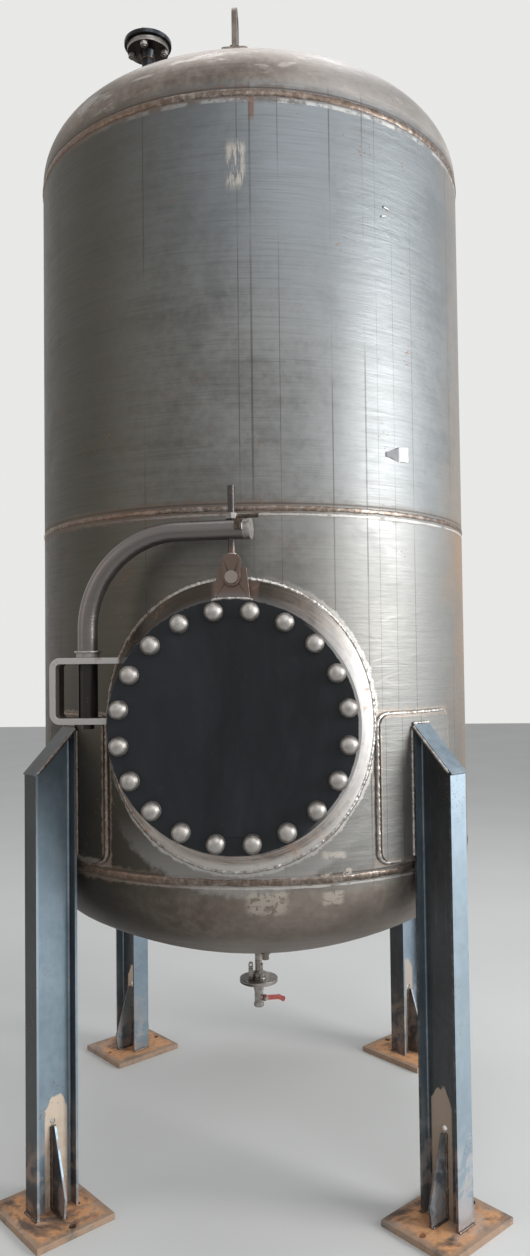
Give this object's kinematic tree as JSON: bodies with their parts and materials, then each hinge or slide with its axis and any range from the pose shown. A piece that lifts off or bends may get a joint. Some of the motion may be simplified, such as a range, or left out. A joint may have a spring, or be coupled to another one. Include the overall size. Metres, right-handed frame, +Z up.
{
  "type": "vertical pressure tank",
  "caption": "Upright welded pressure tank with dished ends on four steel legs, with a bolted manhole cover hung from a swing davit and a bottom drain valve.",
  "frame": {"origin": "on the tank axis at floor level, the middle of the eight anchor holes in the undersides of the base plates", "axes": "+Z up along the tank axis, -Y to the front where the manhole faces, +X to the right seen from the front"},
  "size_m": [1.596, 1.7147, 3.878],
  "materials": {
    "shell_steel": "mill scale",
    "leg_steel": "mill scale",
    "bare_steel": "bare, lightly rusted",
    "bright_steel": "bright plated",
    "rusty_steel": "rusted",
    "black_paint": "satin black",
    "red_paint": "worn red",
    "gasket": "matt black"
  },
  "bodies": {
    "tank": {"shell_lower": "shell_steel", "shell_upper": "shell_steel", "top_head": "shell_steel", "bottom_head": "shell_steel", "leg_pads": "shell_steel", "legs": "leg_steel", "leg_caps": "leg_steel", "base_plates": "rusty_steel", "leg_gussets": "leg_steel", "manhole_pad": "bare_steel", "manhole_neck": "bare_steel", "manhole_flange": "bare_steel", "manhole_gasket": "gasket", "manhole_cover": "black_paint", "manhole_bolts": "bright_steel", "manhole_cap_nuts": "bright_steel", "davit_bracket": "bare_steel", "davit_arm": "shell_steel", "davit_collar": "bright_steel", "davit_end_cap": "bright_steel", "hanger_rod": "bare_steel", "hanger_nut": "bright_steel", "arm_boss": "bare_steel", "locking_pin": "bare_steel", "hanger_clevis": "bare_steel", "clevis_pin": "bare_steel", "cover_lug": "bare_steel", "nozzle_neck": "leg_steel", "nozzle_flange": "bare_steel", "nozzle_gasket": "gasket", "nozzle_blind": "leg_steel", "nozzle_bolts": "bright_steel", "nozzle_nuts": "bright_steel", "lifting_pads": "shell_steel", "lifting_lugs": "shell_steel", "drain_pipe": "bare_steel", "drain_plate": "bare_steel", "drain_hub": "bare_steel", "drain_lugs": "bare_steel", "valve_body": "bright_steel", "drain_coupling": "shell_steel"},
    "lever": {"valve_stem": "bright_steel", "valve_lever": "red_paint", "lever_nut": "bright_steel"}
  },
  "joints": [
    {"name": "drain_valve_lever", "type": "hinge", "parent": "tank", "child": "lever", "pos_m": [0, 0, 0.453], "axis": [0.8192, -0.5736, 0], "range_deg": [-76, 14]}
  ]
}
